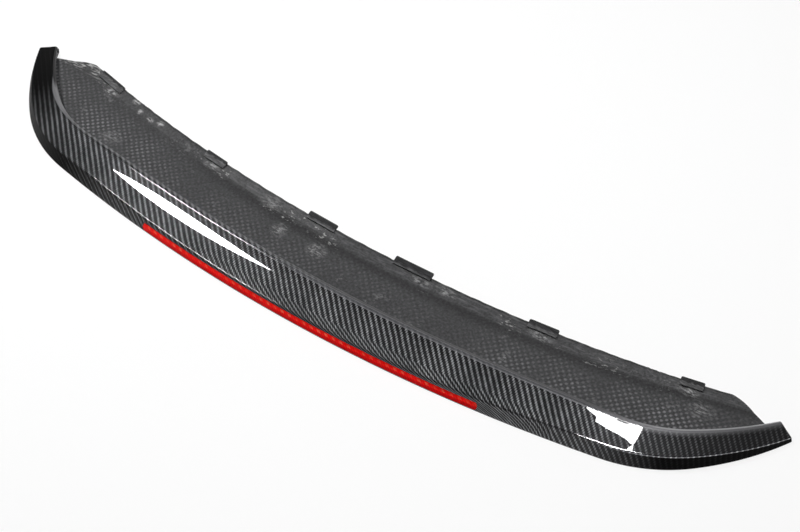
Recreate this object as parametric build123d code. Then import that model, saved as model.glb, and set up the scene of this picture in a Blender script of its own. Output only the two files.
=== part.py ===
"""Hollow lip spoiler for a car's boot lid, moulded in carbon-fibre laminate, with a brake lamp.

It lies as it comes off the bench, upside down: the skin that shows on the car is underneath and the
open side is up. X runs along the spoiler, -Y is the trailing edge with the lamp, +Y is the front
edge that is bonded to the boot lid. It is drawn from the middle of the trailing edge and then moved,
so that the origin is the middle of its length and depth, on the bench. Millimetres.
"""

import os
from math import asin, atan2, cos, degrees, hypot, radians, sin, sqrt, tan

from build123d import *

# Plan of the trailing edge: three tangent arcs on each side, each with its radius and final heading
MIDDLE_RADIUS = 1916.0
MIDDLE_HEADING = 11.2
SHOULDER_RADIUS = 174.0
SHOULDER_HEADING = 44.2
TIP_RADIUS = 317.0
TIP_HEADING = 64.9

# Laminate, and the rounding of its trimmed edges
WALL = 2.0
TRIM_RADIUS = 0.6

# Trailing face, which leans forward as it rises and is tallest at the shoulders
FACE_LEAN = 18.0
FACE_HEIGHT_MIDDLE = 12.6
FACE_HEIGHT_SHOULDER = 18.6
FACE_HEIGHT_TIP = 6.0
SHOULDER_SHARE = 0.57
NOSE_RADIUS = 1.0
NOSE_INNER_RADIUS = 0.5
CREASE_RADIUS_MIDDLE = 3.2
CREASE_RADIUS_TIP = 2.5

# Under-band up to the rolled lip: reach from the trailing edge and height, and the band's hollow
LIP_REACH_MIDDLE = 54.8
LIP_REACH_TIP = 25.0
LIP_HEIGHT_MIDDLE = 29.4
LIP_HEIGHT_TIP = 12.0
LIP_RETURN_MIDDLE = 9.0
LIP_RETURN_TIP = 5.0
LIP_RADIUS_MIDDLE = 4.2
LIP_RADIUS_TIP = 2.4
LIP_UNDERCUT = 8.0
BAND_DIP_MIDDLE = 1.6
BAND_DIP_TIP = 0.2
BAND_RADIUS = 240.0

# Outer skin and its front flange, whose edge is one long arc across the car
FRONT_MIDDLE = 134.8
FRONT_RADIUS = 1825.0
FRONT_HEIGHT_MIDDLE = 13.0
FRONT_HEIGHT_TIP = 8.6
FLANGE_WIDTH = 13.0
FLANGE_RISE = 5.0
KICK_SHARE = 0.45
KICK_LIFT_MIDDLE = 2.2
KICK_LIFT_TIP = 0.4
KICK_RADIUS = 110.0
ROOT_RADIUS = 6.0

# Front corner, trimmed back from the tip beside the lip and rounded into the front edge
CORNER_GAP = 0.5
CORNER_SETBACK = 12.4
CORNER_TAPER = 2.2
CORNER_RUN = 26.0
ROUND_RUN = 44.0
ROUND_FALL = 17.6

# End wall that closes each tip
END_WALL = 2.0
END_INSET = 0.4

# Loft stations as shares of the half length, closer together where the outline turns
STATIONS = (0.0, 0.15, 0.3, 0.43, 0.53, 0.6, 0.66, 0.71, 0.76, 0.81, 0.86, 0.91, 0.955, 0.985, 1.0)

# Brake lamp lens, flush with the trailing face
LENS_LENGTH = 462.0
LENS_LOW = 1.3
LENS_MARGIN = 2.3
LENS_DEPTH = 3.6
LENS_END_RADIUS = 3.2
LENS_CLEARANCE = 0.2
LENS_HIGH = FACE_HEIGHT_MIDDLE - LENS_MARGIN

# Lamp housing behind the lens, with its lead socket; it stops short of the lens on every side
HOUSING_END_MARGIN = 5.0
HOUSING_LOW_MARGIN = 1.7
HOUSING_HIGH_MARGIN = 0.8
HOUSING_DEPTH = 15.0
HOUSING_WALL = 1.1
HOUSING_FLOOR_SLOPE = 0.12
HOUSING_ROOF_SLOPE = 0.24
SOCKET_WIDTH = 16.0
SOCKET_HEIGHT = 5.6
SOCKET_DEPTH = 8.0
SOCKET_WALL = 1.0

HOUSING_LENGTH = LENS_LENGTH - 2 * HOUSING_END_MARGIN

# Circuit board in the housing, and its diodes
BOARD_END_GAP = 2.9
BOARD_EDGE_GAP = 0.25
BOARD_GLUE = 0.1
BOARD_THICKNESS = 1.2
BOARD_LENGTH = HOUSING_LENGTH - 2 * (HOUSING_WALL + BOARD_END_GAP)
LED_COUNT = 15
LED_WIDTH = 3.5
LED_HEIGHT = 2.8
LED_DEPTH = 1.4

# Locating tabs on the front flange, cut and bonded by hand: place along the car, length and overhang
TAB_FITS = (
    (-410.0, 42.0, 1.2),
    (-226.0, 32.0, 1.2),
    (-64.0, 40.0, 4.2),
    (62.0, 50.0, 5.4),
    (228.0, 36.0, 3.2),
    (400.0, 27.0, 2.4),
)
TAB_WIDTH = 9.5
TAB_THICKNESS = 1.6
TAB_CORNER = 1.5
TAB_GLUE = 0.3

ARCS = (
    (MIDDLE_RADIUS, MIDDLE_HEADING),
    (SHOULDER_RADIUS, SHOULDER_HEADING),
    (TIP_RADIUS, TIP_HEADING),
)


def half_length():
    """Length of the trailing edge from the middle to a tip, measured along its arcs."""
    length, last = 0.0, 0.0
    for radius, heading in ARCS:
        length += radius * radians(heading - last)
        last = heading
    return length


def station_plane(share):
    """Upright plane across the trailing edge; its x runs inwards, its y up. Negative shares are -X."""
    left = abs(share) * half_length()
    x, y, last = 0.0, 0.0, 0.0
    for radius, heading in ARCS:
        turn = min(left / radius, radians(heading) - last)
        x += radius * (sin(last + turn) - sin(last))
        y += radius * (cos(last) - cos(last + turn))
        left -= turn * radius
        last += turn
    side = -1.0 if share < 0 else 1.0
    turn = side * last
    return Plane(origin=(side * x, y, 0), x_dir=(-sin(turn), cos(turn), 0), z_dir=(cos(turn), sin(turn), 0))


def fade(middle, tip, share, power):
    """Value that leaves the middle one slowly and reaches the tip one at the end."""
    return tip + (middle - tip) * (1.0 - abs(share) ** power)


def face_height(share):
    """Height of the trailing face: it grows to the shoulder and falls to the tip."""
    away = abs(share)
    if away <= SHOULDER_SHARE:
        return FACE_HEIGHT_MIDDLE + (FACE_HEIGHT_SHOULDER - FACE_HEIGHT_MIDDLE) * (away / SHOULDER_SHARE) ** 2
    past = (away - SHOULDER_SHARE) / (1.0 - SHOULDER_SHARE)
    return FACE_HEIGHT_TIP + (FACE_HEIGHT_SHOULDER - FACE_HEIGHT_TIP) * (1.0 - past**2)


def front_reach(share):
    """Reach of the front edge: from the trailing edge along the station plane to the front arc."""
    plane = station_plane(share)
    from_centre = plane.origin - Vector(0, FRONT_MIDDLE + FRONT_RADIUS, 0)
    along = from_centre.dot(plane.x_dir)
    return -along - sqrt(along**2 - from_centre.dot(from_centre) + FRONT_RADIUS**2)


def front_height(share):
    """Height of the front rim, which falls from the middle to the shoulders."""
    return FRONT_HEIGHT_TIP + (FRONT_HEIGHT_MIDDLE - FRONT_HEIGHT_TIP) * (1.0 - share**2) ** 2


def flange_line(share):
    """Outer corner points of the front flange in a station plane: its rim and its root."""
    plane = station_plane(share)
    reach = front_reach(share)
    rim_x = plane.origin.X + reach * plane.x_dir.X
    skew = plane.x_dir.get_angle(Vector(-rim_x, FRONT_RADIUS, 0))
    width = FLANGE_WIDTH / cos(radians(skew))
    rim = (reach, front_height(share) - WALL)
    return rim, (rim[0] - width, rim[1] - FLANGE_RISE)


def outer_path(share):
    """Corner points of the outer side, from the front rim round the trailing edge to the lip's return."""
    rim, root = flange_line(share)
    kick = (KICK_SHARE * root[0], KICK_SHARE * root[1] + fade(KICK_LIFT_MIDDLE, KICK_LIFT_TIP, share, 2))
    crease = (face_height(share) * tan(radians(FACE_LEAN)), face_height(share))
    crest = (
        fade(LIP_REACH_MIDDLE, LIP_REACH_TIP, share, 3),
        fade(LIP_HEIGHT_MIDDLE, LIP_HEIGHT_TIP, share, 5),
    )
    dip = ((crease[0] + crest[0]) / 2, (crease[1] + crest[1]) / 2 - fade(BAND_DIP_MIDDLE, BAND_DIP_TIP, share, 2))
    drop = fade(LIP_RETURN_MIDDLE, LIP_RETURN_TIP, share, 4)
    foot = (crest[0] - drop * tan(radians(LIP_UNDERCUT)), crest[1] - drop)
    return [rim, root, kick, (0.0, 0.0), crease, dip, crest, foot]


def offset_path(points, distance):
    """Points of a path moved to its right-hand side by a distance, with mitred corners."""
    normals = []
    for (ax, ay), (bx, by) in zip(points, points[1:]):
        length = hypot(bx - ax, by - ay)
        normals.append(((by - ay) / length, (ax - bx) / length))
    moved = []
    for index, (x, y) in enumerate(points):
        before = normals[max(index - 1, 0)]
        after = normals[min(index, len(normals) - 1)]
        scale = distance / (1.0 + before[0] * after[0] + before[1] * after[1])
        moved.append((x + (before[0] + after[0]) * scale, y + (before[1] + after[1]) * scale))
    return moved


def shell_section(share):
    """Closed laminate section in its station plane, with every corner rounded."""
    outer = outer_path(share)
    inner = offset_path(outer, WALL)
    crease = fade(CREASE_RADIUS_MIDDLE, CREASE_RADIUS_TIP, share, 4)
    lip = fade(LIP_RADIUS_MIDDLE, LIP_RADIUS_TIP, share, 4)
    front_radii = [TRIM_RADIUS, ROOT_RADIUS, KICK_RADIUS]
    outer_radii = front_radii + [NOSE_RADIUS, crease, BAND_RADIUS, lip, TRIM_RADIUS]
    inner_radii = front_radii + [NOSE_INNER_RADIUS, crease - WALL, BAND_RADIUS, lip - WALL, TRIM_RADIUS]
    wire = FilletPolyline(*outer, *reversed(inner), radius=outer_radii + inner_radii[::-1], close=True)
    return station_plane(share) * make_face(wire)


def end_wall(side):
    """Wall that closes a tip: the middle line of the laminate, closed across the mouth and thickened."""
    line = offset_path(outer_path(1.0), WALL / 2)
    face = station_plane(side) * make_face(Polyline(*line, close=True))
    inward = -side * station_plane(side).z_dir
    return Pos(*(inward * END_INSET)) * extrude(face, END_WALL, dir=inward)


def lamp_sweep(points, length):
    """Solid of a section that follows the middle arc of the trailing edge, centred on the middle."""
    turn = length / MIDDLE_RADIUS
    start = -turn / 2 * MIDDLE_RADIUS / half_length()
    face = station_plane(start) * make_face(Polyline(*points, close=True))
    return revolve(face, Axis((0, MIDDLE_RADIUS, 0), (0, 0, 1)), revolution_arc=degrees(turn))


def on_face(height, depth=0.0):
    """Point at a height on the leaning trailing face, set back by a level depth."""
    return (height * tan(radians(FACE_LEAN)) + depth, height)


def lens_bar(grow, front):
    """Lens bar grown all round by a clearance and started in front of the face, with rounded ends."""
    low, high = LENS_LOW - grow, LENS_HIGH + grow
    back = LENS_DEPTH + grow
    bar = lamp_sweep(
        [on_face(low, -front), on_face(low, back), on_face(high, back), on_face(high, -front)],
        LENS_LENGTH + 2 * grow,
    )
    ends = [edge for edge in bar.edges() if abs(edge.length - back - front) < 0.01]
    return fillet(ends, LENS_END_RADIUS + grow)


def housing_points(inset):
    """Corners of the lamp housing's section, or of its hollow when inset by the wall."""
    front = LENS_DEPTH
    floor = LENS_LOW + HOUSING_LOW_MARGIN + inset
    roof = LENS_HIGH - HOUSING_HIGH_MARGIN - inset
    depth = HOUSING_DEPTH - inset
    return [
        on_face(floor, front),
        (on_face(floor, front)[0] + depth, floor + depth * HOUSING_FLOOR_SLOPE),
        (on_face(floor, front)[0] + depth, roof + depth * HOUSING_ROOF_SLOPE),
        on_face(roof, front),
    ]


def front_corner(side):
    """Cutter that trims the skin back from a tip beside the lip and rounds its front corner."""
    start = LIP_REACH_TIP + CORNER_GAP
    trim_end = (start + CORNER_RUN, -CORNER_SETBACK - CORNER_TAPER)
    round_end = (trim_end[0] + ROUND_RUN, trim_end[1] - ROUND_FALL)
    clear = FRONT_MIDDLE
    outline = Polyline(
        trim_end,
        (start, -CORNER_SETBACK),
        (start, clear),
        (clear, clear),
        (clear, round_end[1]),
        round_end,
    )
    outline += TangentArc(trim_end, round_end, tangent=(CORNER_RUN, -CORNER_TAPER))
    plane = station_plane(side)
    level = Plane(origin=plane.origin, x_dir=plane.x_dir, z_dir=(0, 0, -side))
    return extrude(level * make_face(outline), clear, both=True)


def spoiler_shell():
    """One-piece laminate: lofted hook section, closed tips, trimmed front corners and the lamp slot."""
    shares = [-share for share in STATIONS[:0:-1]] + list(STATIONS)
    shell = loft([shell_section(share) for share in shares])
    for side in (-1.0, 1.0):
        shell = shell + end_wall(side) - front_corner(side)
    return shell - lens_bar(LENS_CLEARANCE, LENS_DEPTH)


def lamp_housing():
    """Black tray behind the lens, open to it, with a socket for the lead on its back."""
    tray = lamp_sweep(housing_points(0.0), HOUSING_LENGTH)
    tray -= lamp_sweep(housing_points(HOUSING_WALL), HOUSING_LENGTH - 2 * HOUSING_WALL)
    (_, _), (back, low), (_, high), (_, _) = housing_points(0.0)
    seat = Pos(0, back, (low + high) / 2)
    outside = Box(SOCKET_WIDTH, SOCKET_DEPTH, SOCKET_HEIGHT, align=(Align.CENTER, Align.MIN, Align.CENTER))
    inside = Box(
        SOCKET_WIDTH - 2 * SOCKET_WALL,
        SOCKET_DEPTH,
        SOCKET_HEIGHT - 2 * SOCKET_WALL,
        align=(Align.CENTER, Align.MIN, Align.CENTER),
    )
    return tray + seat * outside - seat * Pos(0, SOCKET_WALL, 0) * inside


def board_corners():
    """Front and back reach, and low and high edge, of the circuit board against the tray's back."""
    (_, _), (wall, low), (_, high), (_, _) = housing_points(HOUSING_WALL)
    back = wall - BOARD_GLUE
    front = back - BOARD_THICKNESS
    return front, back, low + BOARD_EDGE_GAP, high - (wall - front) * HOUSING_ROOF_SLOPE - BOARD_EDGE_GAP


def led_board():
    """Circuit board strip standing against the back of the tray."""
    front, back, low, high = board_corners()
    return lamp_sweep([(front, low), (back, low), (back, high), (front, high)], BOARD_LENGTH)


def leds():
    """Row of diodes on the front of the board, evenly spaced along it."""
    front, _, low, high = board_corners()
    pitch = BOARD_LENGTH / LED_COUNT
    chips = []
    for index in range(LED_COUNT):
        place = (index - (LED_COUNT - 1) / 2) * pitch
        sag = LED_WIDTH**2 / (8 * (MIDDLE_RADIUS - front))
        chip = Box(LED_DEPTH, LED_HEIGHT, LED_WIDTH, align=(Align.MAX, Align.CENTER, Align.CENTER))
        seat = Pos(front - sag, (low + high) / 2, 0)
        chips.append(station_plane(place / half_length()) * seat * chip)
    return Compound(chips)


def share_at_front(x):
    """Share of the half length whose station plane meets the front edge at a given x."""
    low, high = 0.0, 1.0
    while high - low > 1e-6:
        share = (low + high) / 2
        plane = station_plane(share)
        if plane.origin.X + front_reach(share) * plane.x_dir.X < abs(x):
            low = share
        else:
            high = share
    return low


def locating_tab(place, length, overhang):
    """Thin plate bonded on the flange's inner side, standing past its rim, at a place along the car."""
    turn = asin(place / FRONT_RADIUS)
    step = length / 2
    ends = [front_height(share_at_front(place + side * step)) for side in (-1, 1)]
    height = sum(ends) / 2 - WALL
    rim = (place, FRONT_MIDDLE + FRONT_RADIUS * (1 - cos(turn)), height)
    along = (cos(turn) * length, sin(turn) * length, ends[1] - ends[0])
    plane = Plane(origin=rim, x_dir=(-sin(turn), cos(turn), 0), z_dir=along)
    plate = Box(TAB_WIDTH, TAB_THICKNESS, length, align=(Align.MAX, Align.MIN, Align.CENTER))
    plate = fillet(plate.edges().filter_by(Axis.Y).group_by(Axis.X)[-1], TAB_CORNER)
    slope = degrees(atan2(FLANGE_RISE, FLANGE_WIDTH))
    return plane * Rot(0, 0, slope) * Pos(overhang, WALL + TAB_GLUE, 0) * plate


def locating_tabs():
    """The row of tabs along the front flange."""
    return Compound([locating_tab(*fit) for fit in TAB_FITS])


def main():
    """Write every node to its own file, moved so that the whole stands on the origin."""
    os.makedirs("parts", exist_ok=True)
    nodes = {
        "spoiler_shell": spoiler_shell(),
        "lamp_lens": lens_bar(0.0, 0.0),
        "lamp_housing": lamp_housing(),
        "led_board": led_board(),
        "leds": leds(),
        "locating_tabs": locating_tabs(),
    }
    box = Compound(list(nodes.values())).bounding_box()
    seat = Pos(0, -box.center().Y, -box.min.Z)
    for name, shape in nodes.items():
        export_step(seat * shape, f"parts/{name}.step")
        print(name, round(shape.volume), "mm3")
    print("moved by", seat.position)


main()
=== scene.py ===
# %% [markdown]
# # Lip spoiler of a car's boot lid, in carbon-fibre laminate with a brake lamp
# The real part is laid up by hand in a mould: twill cloth and clear resin against a polished tool, so
# the outer side is glossy and the inner side shows the bare back of the cloth. It lies upside down, on
# the skin that shows on the car. This script dresses the solid model: it redraws the laminate with a
# finer mesh that knows how the cloth lies, and gives every piece its real finish. Metres, same frame.

# %% Start from the solid model
from functools import partial
from math import asin, atan2, cos, hypot, pi, radians, sin, sqrt, tan

import bpy
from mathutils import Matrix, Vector


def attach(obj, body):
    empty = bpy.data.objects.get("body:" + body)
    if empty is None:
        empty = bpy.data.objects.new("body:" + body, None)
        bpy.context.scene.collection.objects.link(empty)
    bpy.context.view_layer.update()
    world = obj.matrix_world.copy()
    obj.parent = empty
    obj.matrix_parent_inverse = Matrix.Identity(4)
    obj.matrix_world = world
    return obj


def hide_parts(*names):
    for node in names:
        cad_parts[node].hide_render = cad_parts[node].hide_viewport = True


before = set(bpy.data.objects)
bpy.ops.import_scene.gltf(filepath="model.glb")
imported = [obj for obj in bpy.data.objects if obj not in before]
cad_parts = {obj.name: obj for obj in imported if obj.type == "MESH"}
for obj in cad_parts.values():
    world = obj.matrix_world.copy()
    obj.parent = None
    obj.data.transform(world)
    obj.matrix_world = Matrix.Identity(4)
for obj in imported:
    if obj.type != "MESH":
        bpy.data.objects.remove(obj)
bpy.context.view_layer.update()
MM = 0.001

# %% [markdown]
# ## Colours and nodes
# Colours are written as they look on a screen and turned into the linear values that a renderer mixes.
# One small function adds a node, sets it and links it, so that a material reads as a list of steps. Each
# material hands it out for its own nodes. The part that fills the inputs also serves the shader.

# %% Helpers for materials
RGBA = {"output": 2, "data_type": "RGBA"}  # settings of a mix of two colours


def colour(code):
    """Linear colour of an sRGB hex code."""
    parts = [int(code[i : i + 2], 16) / 255 for i in (1, 3, 5)]
    return [p / 12.92 if p <= 0.04045 else ((p + 0.055) / 1.055) ** 2.4 for p in parts] + [1.0]


def feed(node, inputs):
    """Set a node's inputs to numbers, or link them to other nodes' outputs."""
    for socket, value in inputs.items():
        if isinstance(value, bpy.types.NodeSocket):
            node.id_data.links.new(value, node.inputs[socket])
        else:
            node.inputs[socket].default_value = value


def add_node(tree, kind, inputs=None, operation=None, output=0, **settings):
    """Add a node with its settings, feed its inputs, and give one of its outputs."""
    made = tree.nodes.new("ShaderNode" + kind)
    if operation:
        made.operation = operation
    for name, value in settings.items():
        setattr(made, name, value)
    feed(made, inputs or {})
    return made.outputs[output]


def material(name):
    """New material, with the function that adds nodes to it and its shader."""
    made = bpy.data.materials.new(name)
    made.use_nodes = True
    return made, partial(add_node, made.node_tree), made.node_tree.nodes["Principled BSDF"]


print("middle grey in linear light:", round(colour("#808080")[0], 3))

# %% [markdown]
# ## Form of the laminate
# The section is a hook: front flange, skin, trailing face, hollow under-band and rolled lip. It is swept
# along a trailing edge of three tangent arcs a side, with every value fading from the middle to the tips.
# The formulas are those of the solid model, in millimetres, with more stations and rounder fillets, and
# with a slight bend, the brow, just before the lip rolls over, which makes the roll look as soft as it is.

# %% Plan of the trailing edge
ARCS = ((1916.0, 11.2), (174.0, 44.2), (317.0, 64.9))  # radius, and heading at its end in degrees
HALF = sum(r * radians(h - last) for (r, h), last in zip(ARCS, (0.0, 11.2, 44.2)))
SHIFT = (0.0, -94.6466, -0.0559)  # from the section's own zero to the shared frame


def station(share):
    """Foot of a station on the trailing edge and its heading; negative shares are towards -X."""
    left, x, y, last = abs(share) * HALF, 0.0, 0.0, 0.0
    for radius, heading in ARCS:
        turn = min(left / radius, radians(heading) - last)
        x += radius * (sin(last + turn) - sin(last))
        y += radius * (cos(last) - cos(last + turn))
        left -= turn * radius
        last += turn
    side = -1.0 if share < 0 else 1.0
    return side * x, y, side * last


print("trailing edge:", round(2 * HALF), "mm")

# %% Section of the laminate
WALL, TRIM_RADIUS = 2.0, 0.6
FRONT_MIDDLE, FRONT_RADIUS = 134.8, 1825.0
FLANGE_WIDTH, FLANGE_RISE, RIM_LOW, RIM_CROWN = 13.0, 5.0, 6.6, 4.4
SHOULDER, FACE_MIDDLE, FACE_GAIN, FACE_TIP, FACE_FALL = 0.57, 12.6, 6.0, 6.0, 12.6
FACE_LEAN, LIP_LEAN, BROW_TURN = tan(radians(18.0)), radians(8.0), radians(8.0)
ROOT_RADIUS, KICK_RADIUS, HEEL_RADIUS, DIP_RADIUS, BROW_RADIUS = 6.0, 110.0, 1.0, 240.0, 6.0
KICK_SHARE = 0.45
# Values that fade: in the middle, at the tips, and the power of the fade.
KICK_SAG, DIP_SAG, BROW_BACK = (2.2, 0.4, 2), (1.6, 0.2, 2), (9.6, 5.4, 2)
CREST_REACH, CREST_HEIGHT, LIP_DROP = (54.8, 25.0, 3), (29.4, 12.0, 5), (9.0, 5.0, 4)
BEND_RADIUS, LIP_RADIUS = (3.2, 2.5, 4), (4.2, 2.4, 4)


def fade(value, share):
    """Value that leaves the middle one slowly and reaches the tip one at the end."""
    middle, tip, power = value
    return tip + (middle - tip) * (1.0 - abs(share) ** power)


def face_height(share):
    """Height of the trailing face, tallest at the shoulders."""
    away = abs(share)
    if away <= SHOULDER:
        return FACE_MIDDLE + FACE_GAIN * (away / SHOULDER) ** 2
    return FACE_TIP + FACE_FALL * (1.0 - ((away - SHOULDER) / (1.0 - SHOULDER)) ** 2)


def outer_path(share):
    """Corners of the outer side as reach and height, with the radius of each."""
    x, y, turn = station(share)
    dx, dy = -sin(turn), cos(turn)
    cx, cy = x, y - FRONT_MIDDLE - FRONT_RADIUS
    along = cx * dx + cy * dy
    reach = -along - sqrt(along**2 - cx**2 - cy**2 + FRONT_RADIUS**2)
    skew = turn - asin((x + reach * dx) / FRONT_RADIUS)
    rim = (reach, RIM_LOW + RIM_CROWN * (1.0 - share**2) ** 2)
    root = (reach - FLANGE_WIDTH / cos(skew), rim[1] - FLANGE_RISE)
    kick = (KICK_SHARE * root[0], KICK_SHARE * root[1] + fade(KICK_SAG, share))
    crease = (face_height(share) * FACE_LEAN, face_height(share))
    crest = (fade(CREST_REACH, share), fade(CREST_HEIGHT, share))
    dip = ((crease[0] + crest[0]) / 2, (crease[1] + crest[1]) / 2 - fade(DIP_SAG, share))
    drop, back = fade(LIP_DROP, share), fade(BROW_BACK, share)
    foot = (crest[0] - drop * tan(LIP_LEAN), crest[1] - drop)
    rise = atan2(crest[1] - dip[1], crest[0] - dip[0])
    brow = (crest[0] - back * cos(rise), crest[1] - back * sin(rise))
    rise -= BROW_TURN
    ahead = back * cos(BROW_TURN + rise - LIP_LEAN) / cos(rise - LIP_LEAN)
    crest = (brow[0] + ahead * cos(rise), brow[1] + ahead * sin(rise))
    corners = [rim, root, kick, (0.0, 0.0), crease, dip, brow, crest, foot]
    radii = [TRIM_RADIUS, ROOT_RADIUS, KICK_RADIUS, HEEL_RADIUS, fade(BEND_RADIUS, share), DIP_RADIUS]
    return corners, radii + [BROW_RADIUS, fade(LIP_RADIUS, share), TRIM_RADIUS]


def offset_path(points, distance):
    """Points of a path moved to its right-hand side, with mitred corners."""
    normals = []
    for (ax, ay), (bx, by) in zip(points, points[1:]):
        length = hypot(bx - ax, by - ay)
        normals.append(((by - ay) / length, (ax - bx) / length))
    moved = []
    for index, (x, y) in enumerate(points):
        before, after = normals[max(index - 1, 0)], normals[min(index, len(normals) - 1)]
        scale = distance / (1.0 + before[0] * after[0] + before[1] * after[1])
        moved.append((x + (before[0] + after[0]) * scale, y + (before[1] + after[1]) * scale))
    return moved


print("corners of the section:", len(outer_path(0.0)[0]))

# %% [markdown]
# Each corner of the section becomes an arc of points. The hand-sawn front rim wanders by a fraction of a
# millimetre, as a saw does, and always inwards, so that the part keeps its size.

# %% Arcs at the corners and a hand-sawn rim
HEEL, CREASE, BROW, ROLL, FOOT = 3, 4, 6, 7, 8  # numbers of some corners
ARC_STEPS = (3, 6, 6, 5, 8, 12, 5, 12, 3)
RAGGED, SAW_WAVES = 0.8, (5.3, 2.9)


def rounded(points, radii, steps):
    """Closed polygon with its corners turned into arcs: places, corner numbers and shares of the arc."""
    made = []
    count = len(points)
    for index in range(count):
        px, py = points[index]
        ax, ay = points[index - 1]
        bx, by = points[(index + 1) % count]
        la, lb = hypot(ax - px, ay - py), hypot(bx - px, by - py)
        ux, uy, wx, wy = (ax - px) / la, (ay - py) / la, (bx - px) / lb, (by - py) / lb
        half = atan2(abs(ux * wy - uy * wx), ux * wx + uy * wy) / 2
        reach = radii[index] / tan(half)
        mx, my = ux + wx, uy + wy
        away = radii[index] / sin(half) / hypot(mx, my)
        ox, oy = px + mx * away, py + my * away
        start = atan2(py + uy * reach - oy, px + ux * reach - ox)
        end = atan2(py + wy * reach - oy, px + wx * reach - ox)
        sweep = (end - start + pi) % (2 * pi) - pi
        for step in range(steps[index] + 1):
            angle = start + sweep * step / steps[index]
            place = (ox + radii[index] * cos(angle), oy + radii[index] * sin(angle))
            made.append((*place, index, step / steps[index]))
    return made


def section(share, inset):
    """Rounded section of the laminate at a station; near the tips its outside is inset to round the end."""
    corners, radii = outer_path(share)
    wander = sin(share * HALF / SAW_WAVES[0]) + sin(share * HALF / SAW_WAVES[1] + 1.0)
    corners[0] = (corners[0][0] - RAGGED * (2.0 + wander) / 4, corners[0][1])
    loops, bends = [], []
    for depth in (inset, WALL):
        trim = min(TRIM_RADIUS, 0.4 * (WALL - inset))
        loops.append(offset_path(corners, depth))
        hollow = [HEEL_RADIUS - depth / 4, radii[CREASE] - depth, radii[CREASE + 1]]
        convex = [radius - depth for radius in radii[BROW : ROLL + 1]]
        bends.append([trim] + radii[1:HEEL] + hollow + convex + [trim])
    return rounded(loops[0] + loops[1][::-1], bends[0] + bends[1][::-1], ARC_STEPS + ARC_STEPS[::-1])


print("points round the section:", len(section(0.0, 0.0)))

# %% [markdown]
# ## Lie of the cloth
# The cloth was laid square to the car. From the crease outwards the distance over the surface is longer
# than the distance in plan, and that surplus is added to the plan position, so the twill neither stretches
# nor slides where the mould is steep. In the middle the layer was pulled sideways along the crease when it
# was pressed in, and its ribs sweep to the right there. A second set of coordinates counts along the part
# and across it: from the lip on the outside, from the rim on the inside, and round the roll on the lip.

# %% One ring of points, with the lie of the cloth
PULL, PULL_REACH, PULL_MIDDLE, PULL_HALF = 22.0, 13.0, 0.12, 0.42
OUTSIDE, INSIDE, LIP = 0, 1, 2  # slots of the laminate's finishes


def ring(share, inset):
    """Points of one station in the model's frame: place, cloth place, corner, and place by finish."""
    points = section(share, inset)
    x, y, turn = station(share)
    dx, dy = -sin(turn), cos(turn)
    crease_at = next(i for i, p in enumerate(points) if p[2] == CREASE)
    walked = [0.0] * len(points)
    for index in range(crease_at + 1, len(points)):
        (ax, ay), (bx, by) = points[index - 1][:2], points[index][:2]
        walked[index] = walked[index - 1] + hypot(bx - ax, by - ay)
    for index in range(crease_at - 1, -1, -1):
        (ax, ay), (bx, by) = points[index + 1][:2], points[index][:2]
        walked[index] = walked[index + 1] - hypot(bx - ax, by - ay)
    lip_at = next(i for i, p in enumerate(points) if p[2] == ROLL)
    middle = max(0.0, 1.0 - ((share - PULL_MIDDLE) / PULL_HALF) ** 2)
    made = []
    for index, (reach, height, corner, turned) in enumerate(points):
        laid = HEEL <= corner <= FOOT
        surplus = walked[index] - (reach - points[crease_at][0]) if laid else 0.0
        near = max(0.0, 1.0 - walked[index] / PULL_REACH) if laid else 0.0
        place = (x + reach * dx + SHIFT[0], y + reach * dy + SHIFT[1], height + SHIFT[2])
        cloth = (place[0] + surplus * dx - PULL * middle * near**2, place[1] + surplus * dy)
        roll = turned if corner == ROLL else float(corner > ROLL)
        across = ((walked[lip_at] - walked[index]) * MM, (points[0][0] - reach) * MM, roll)
        made.append((place, cloth, corner, (share * HALF * MM, across)))
    return made


print("cloth pulled by up to", PULL, "mm")

# %% [markdown]
# ## The laminate's mesh
# Rings from tip to tip are joined into one closed skin; the last few shrink along a quarter circle, which
# rounds the tips' edges. The tips are then closed by their end walls, the front corners are sawn off along
# a line with a rounded end, and the lamp's slot is milled, as on the real part.

# %% Draw the skin
HALF_STATIONS, TIP_ROUND, TIP_STEPS = 96, 1.6, 6
SIDE_OF_CORNER = [OUTSIDE] * 7 + [LIP] * 4 + [INSIDE] * 7


def closed_mesh(name, rings):
    """Mesh of quads round a row of equal rings of places, closed at both ends."""
    count = len(rings[0])
    verts = [[v * MM for v in place] for points in rings for place in points]
    faces = []
    for row in range(len(rings) - 1):
        for i in range(count):
            j = (i + 1) % count
            faces.append((row * count + i, row * count + j, (row + 1) * count + j, (row + 1) * count + i))
    last = (len(rings) - 1) * count
    faces.append(tuple(range(count))[::-1])
    faces.append(tuple(range(last, last + count)))
    mesh = bpy.data.meshes.new(name)
    mesh.from_pydata(verts, [], faces)
    mesh.validate()
    made = bpy.data.objects.new(name, mesh)
    bpy.context.scene.collection.objects.link(made)
    return made


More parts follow.
